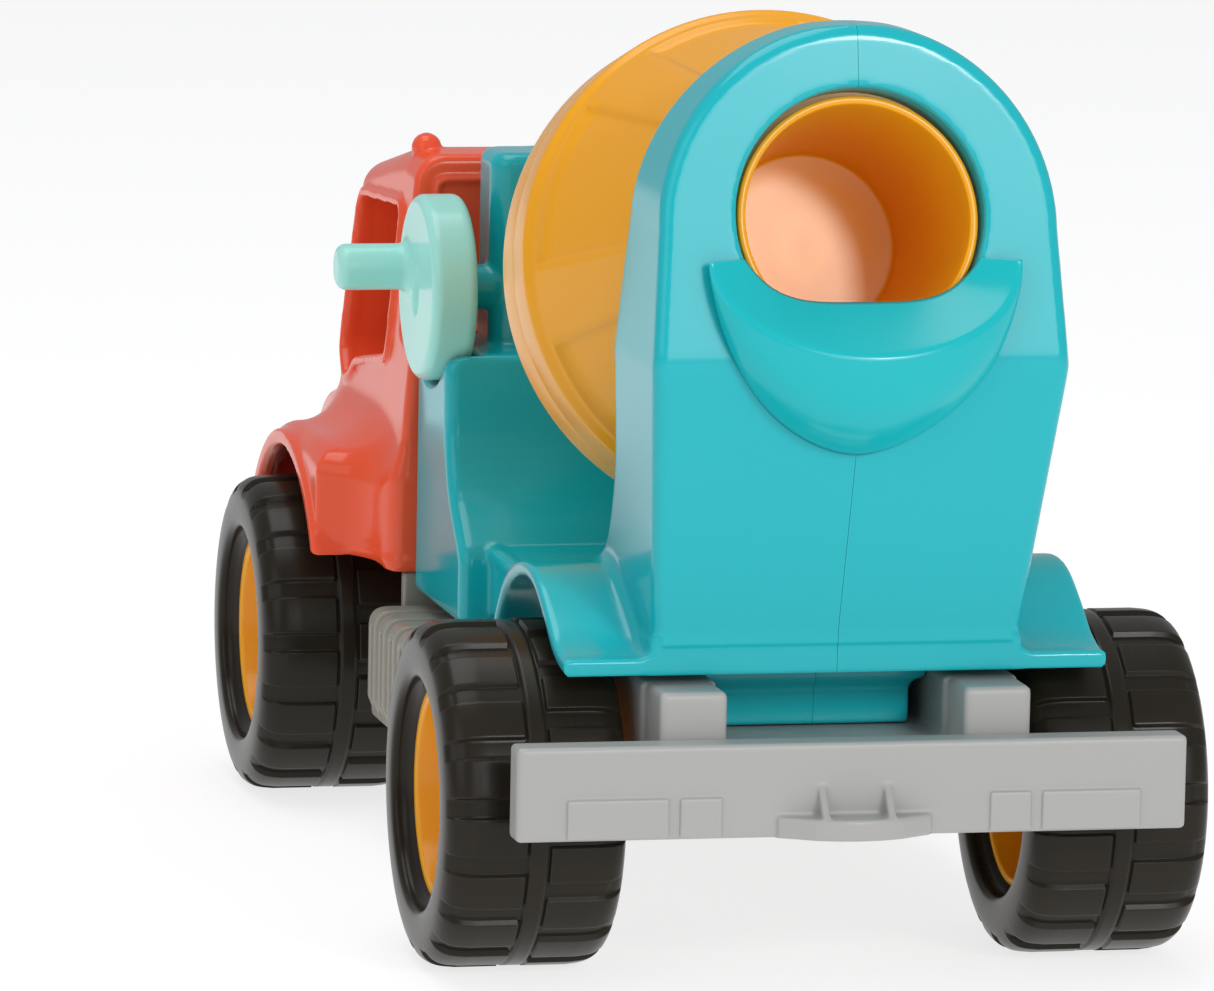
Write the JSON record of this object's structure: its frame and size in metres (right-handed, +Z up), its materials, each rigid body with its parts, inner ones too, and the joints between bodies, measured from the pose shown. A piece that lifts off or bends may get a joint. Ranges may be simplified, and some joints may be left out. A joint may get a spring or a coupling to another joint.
{
  "type": "toy cement mixer truck",
  "caption": "Toy cement mixer truck with open cab, two-half body, hand crank geared to a tilted drum, fixed chute and rolling wheels.",
  "frame": {"origin": "on the ground under the middle of the truck's overall box", "axes": "+Z up, -Y towards the cab and front bumper, +X towards the crank side (the truck's left)"},
  "size_m": [0.1888, 0.37, 0.2325],
  "materials": {
    "turquoise_plastic": "glossy injection moulded plastic",
    "chute_plastic": "glossy injection moulded plastic, a shade brighter than the body",
    "orange_plastic": "glossy injection moulded plastic",
    "yellow_plastic": "glossy injection moulded plastic",
    "mint_plastic": "satin to glossy injection moulded plastic",
    "grey_plastic": "satin moulded plastic",
    "step_plastic": "satin moulded plastic, a darker grey",
    "gear_plastic": "plain white gear plastic",
    "tyre": "dark brown-black moulded tyre, semi-gloss",
    "steel": "plated steel"
  },
  "bodies": {
    "truck": {"chassis_frame": "grey_plastic", "front_axle_retainer": "grey_plastic", "rear_axle_retainer": "grey_plastic", "front_retainer_screw_left": "steel", "front_retainer_screw_right": "steel", "rear_retainer_screw_left": "steel", "rear_retainer_screw_right": "steel", "body_screw_left_1": "steel", "body_screw_left_2": "steel", "body_screw_right_1": "steel", "body_screw_right_2": "steel", "rear_bumper": "grey_plastic", "front_bumper": "grey_plastic", "front_grille": "grey_plastic", "side_step_left": "step_plastic", "side_step_right": "step_plastic", "body_shell_left": "turquoise_plastic", "body_shell_right": "turquoise_plastic", "chute": "chute_plastic", "cab_shell": "orange_plastic", "cab_seat": "grey_plastic"},
    "front_wheels": {"front_axle": "steel", "front_left_tyre": "tyre", "front_right_tyre": "tyre", "front_left_hub": "yellow_plastic", "front_right_hub": "yellow_plastic"},
    "rear_wheels": {"rear_axle": "steel", "rear_left_tyre": "tyre", "rear_right_tyre": "tyre", "rear_left_hub": "yellow_plastic", "rear_right_hub": "yellow_plastic"},
    "drum": {"drum_rear_shell": "yellow_plastic", "drum_front_shell": "yellow_plastic", "drum_spindle": "steel", "drum_crown_gear": "gear_plastic"},
    "crank": {"crank_wheel": "mint_plastic", "crank_shaft": "steel", "crank_pinion": "gear_plastic", "crank_screw": "steel"}
  },
  "joints": [
    {"name": "front_wheels_spin", "type": "hinge", "parent": "truck", "child": "front_wheels", "pos_m": [0, -0.128, 0.042], "axis": [1, 0, 0], "continuous": true},
    {"name": "rear_wheels_spin", "type": "hinge", "parent": "truck", "child": "rear_wheels", "pos_m": [0, 0.112, 0.042], "axis": [1, 0, 0], "continuous": true},
    {"name": "drum_spin", "type": "hinge", "parent": "truck", "child": "drum", "pos_m": [0, 0.0775, 0.1662], "axis": [0, 0.9711, 0.2385], "continuous": true},
    {"name": "crank_spin", "type": "hinge", "parent": "truck", "child": "crank", "pos_m": [0, -0.046, 0.145], "axis": [1, 0, 0], "continuous": true}
  ],
  "couplings": [
    {"joint": "crank_spin", "follows": "drum_spin", "ratio": -2}
  ]
}
